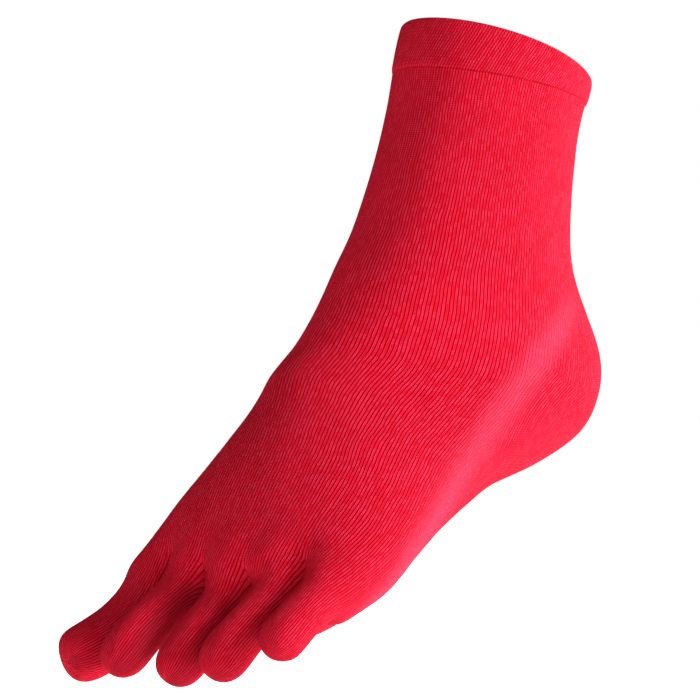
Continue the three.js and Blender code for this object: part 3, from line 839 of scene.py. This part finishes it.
def cuff_profile(sizes):
    """The cuff's closed section as how far down from the rim and how far in from the outside it lies."""
    height, wall, proud = sizes.cuff_height, sizes.cuff_wall, sizes.cuff_proud
    radius = wall / 2
    down = np.linspace(height - radius, radius, CUFF_FACE_STEPS, endpoint=False)
    outside = [(along, -proud * math.sin(math.pi * along / height)) for along in down]
    lip = [
        (radius * (1 - math.sin(turn)), radius * (1 - math.cos(turn)))
        for turn in np.linspace(0, math.pi, CUFF_LIP_STEPS, endpoint=False)]
    inside = [(height - along, wall) for along in down]
    hem = [
        (height - radius * (1 - math.sin(turn)), radius * (1 + math.cos(turn)))
        for turn in np.linspace(0, math.pi, CUFF_LIP_STEPS, endpoint=False)]
    return np.array(outside + lip + inside + hem)


class KnitCuff(bpy.types.Operator):
    """Makes the doubled cuff from a ring whose section is drawn out to a tall band"""

    bl_idname = "sock.cuff"
    bl_label = "Cuff"

    def execute(self, context):
        sizes = context.scene.sock_sizes
        seam_row = placed_rows(sizes)[0]
        proud_row = {**seam_row}
        for key in ("front", "back", "inner", "outer"):
            proud_row[key] += sizes.cuff_proud
        mouth_row = {
            **seam_row, "x": 0, "z": 0, "slope": math.degrees(sizes.cuff_slope),
            "front": sizes.cuff_depth / 2, "back": sizes.cuff_depth / 2,
            "inner": sizes.cuff_width / 2, "outer": sizes.cuff_width / 2,
        }
        mouth = section_ring(mouth_row, CUFF_RING)
        seam = section_ring(proud_row, CUFF_RING)
        _, _, onward = section_frame(seam_row)
        around = np.roll(mouth, -1, axis=0) - np.roll(mouth, 1, axis=0)
        inward = np.cross(around, seam - mouth)
        inward -= np.outer(inward @ onward, onward)
        inward /= np.linalg.norm(inward, axis=1)[:, None]
        mouth[:, 2] += sizes.cuff_lift * (2 * np.abs(mouth[:, 1]) / sizes.cuff_width) ** 2

        bpy.ops.object.select_all(action="DESELECT")
        bpy.ops.mesh.primitive_torus_add(
            major_segments=CUFF_RING, minor_segments=CUFF_PROFILE, major_radius=TORUS_RADIUS, minor_radius=1)
        cuff = bpy.context.object
        cuff.name = knitted("cuff")
        mesh = cuff.data
        mesh.name = cuff.name
        x, y, z = vertex_points(mesh).T
        turn = np.arctan2(y, x) / (2 * math.pi)
        tilt = np.arctan2(z, np.hypot(x, y) - TORUS_RADIUS) / (2 * math.pi)
        step = np.rint(turn * CUFF_RING).astype(int) % CUFF_RING
        place = np.rint(tilt * CUFF_PROFILE).astype(int) % CUFF_PROFILE
        along, depth = cuff_profile(sizes)[place].T
        share_down = (along / sizes.cuff_height)[:, None]
        points = mouth[step] * (1 - share_down) + seam[step] * share_down + inward[step] * depth[:, None]
        mesh.vertices.foreach_set("co", points.ravel())

        # On the faces between the last step and the first, the first counts as one more than the last
        corner = corner_vertices(mesh)
        steps = step[corner].reshape(-1, 4)
        closes_ring = np.ptp(steps, axis=1, keepdims=True) > 1
        steps = np.where(closes_ring & (steps == 0), CUFF_RING, steps)
        wales = steps.ravel() * WALES_PER_STEP * RING / CUFF_RING
        write_knit_map(mesh, wales, along[corner] / sizes.course)
        mesh.update()
        alone(cuff)
        bpy.ops.object.mode_set(mode="EDIT")
        bpy.ops.mesh.select_all(action="SELECT")
        bpy.ops.mesh.normals_make_consistent(inside=False)
        bpy.ops.object.mode_set(mode="OBJECT")
        finish_piece(cuff, knit_material(context, "doubled knitted welt", sizes.cuff_slant), "cuff")
        return {"FINISHED"}


# The camera looks level at the little toe's side of the sock, and somewhat from the front
VIEW_MIDDLE = Vector((-0.043, 0.0301, -0.105))
VIEW_TURN = math.radians(35)
VIEW_DISTANCE = 1.1
LENS = 158.4
FLOOR_DROP = 0.32
FLOOR_SIZE = 14

# right, back and up are metres from the middle of the view, to the right of it, away from the camera and up
LIGHT = ("name", "right", "back", "up", "size", "power", "colour")
LIGHT_ROWS = table(LIGHT, (
    ("key", 1.8, -0.55, 0.9, 0.45, 62, "#deffff"),
    ("front", 0.1, -2, 0.5, 1.2, 10, "#ffffff"),
    ("left", -1.9, 0.1, 0.3, 1, 1, "#ffffff"),
    ("top", 0.3, 0, 2, 0.8, 10, "#ffffff"),
    ("right_back", 1.5, 1.2, 0.4, 1, 44, "#deffff"),
))


class SetStage(bpy.types.Operator):
    """Sets the floor, the soft lights and the camera"""

    bl_idname = "sock.stage"
    bl_label = "Stage"

    def execute(self, context):
        colours = context.scene.sock_colours
        onward = Vector((math.sin(VIEW_TURN), math.cos(VIEW_TURN), 0))
        right = Vector((math.cos(VIEW_TURN), -math.sin(VIEW_TURN), 0))

        bpy.ops.object.select_all(action="DESELECT")
        bpy.ops.mesh.primitive_plane_add(size=FLOOR_SIZE, location=(0, 0, 0))
        floor = context.object
        floor.name = "floor"
        for vertex in floor.data.vertices:
            vertex.co.z = -FLOOR_DROP
        paper = bpy.data.materials.new("matt white paper")
        paper.use_nodes = True
        shader = paper.node_tree.nodes["Principled BSDF"]
        shader.inputs["Base Color"].default_value = (*colours.floor, 1)
        shader.inputs["Roughness"].default_value = 0.9
        shader.inputs["Emission Color"].default_value = (1, 1, 1, 1)
        shader.inputs["Emission Strength"].default_value = 1.0
        floor.data.materials.append(paper)

        for row in LIGHT_ROWS:
            spot = VIEW_MIDDLE + row["right"] * right + row["back"] * onward + row["up"] * Vector((0, 0, 1))
            bpy.ops.object.light_add(type="AREA", location=spot)
            light = context.object
            light.name = row["name"]
            light.data.shape = "DISK"
            light.data.size = row["size"]
            light.data.energy = row["power"]
            light.data.color = linear(row["colour"])
            light.rotation_euler = (VIEW_MIDDLE - spot).to_track_quat("-Z", "Y").to_euler()

        # A white room that is only looked at, so that the sock's shading comes from the lamps
        world = bpy.data.worlds.new("white room")
        context.scene.world = world
        world.use_nodes = True
        world.node_tree.nodes["Background"].inputs["Color"].default_value = (1, 1, 1, 1)
        world.cycles_visibility.diffuse = False
        world.cycles_visibility.glossy = False

        bpy.ops.object.camera_add(location=VIEW_MIDDLE - VIEW_DISTANCE * onward)
        camera = context.object
        camera.rotation_euler = onward.to_track_quat("-Z", "Y").to_euler()
        camera.data.lens = LENS
        camera.data.clip_end = 4 * FLOOR_SIZE
        context.scene.camera = camera
        # Keeps the dyed red as strong as it is
        context.scene.view_settings.view_transform = "Standard"
        return {"FINISHED"}


class SockPanel(bpy.types.Panel):
    """Lists the sock's steps, sizes and colours"""

    bl_idname = "SOCK_PT_steps"
    bl_label = "Toe Sock"
    bl_space_type = "VIEW_3D"
    bl_region_type = "UI"
    bl_category = "Toe Sock"

    def draw(self, context):
        for step in STEPS:
            self.layout.operator(step.bl_idname)
        for group in (context.scene.sock_sizes, context.scene.sock_colours):
            for name in group.bl_rna.properties.keys():
                if name not in ("name", "rna_type"):
                    self.layout.prop(group, name)


STEPS = (KnitTube, KnitToes, KnitHeel, KnitCuff, SetStage)
CLASSES = (SockSizes, SockColours, *STEPS, SockPanel)


def register():
    for kind in CLASSES:
        bpy.utils.register_class(kind)
    bpy.types.Scene.sock_sizes = bpy.props.PointerProperty(type=SockSizes)
    bpy.types.Scene.sock_colours = bpy.props.PointerProperty(type=SockColours)


def unregister():
    del bpy.types.Scene.sock_colours
    del bpy.types.Scene.sock_sizes
    for kind in reversed(CLASSES):
        bpy.utils.unregister_class(kind)


def main():
    register()
    bpy.ops.sock.tube()
    bpy.ops.sock.toes()
    bpy.ops.sock.heel()
    bpy.ops.sock.cuff()
    bpy.ops.sock.stage()


if __name__ == "__main__":
    main()
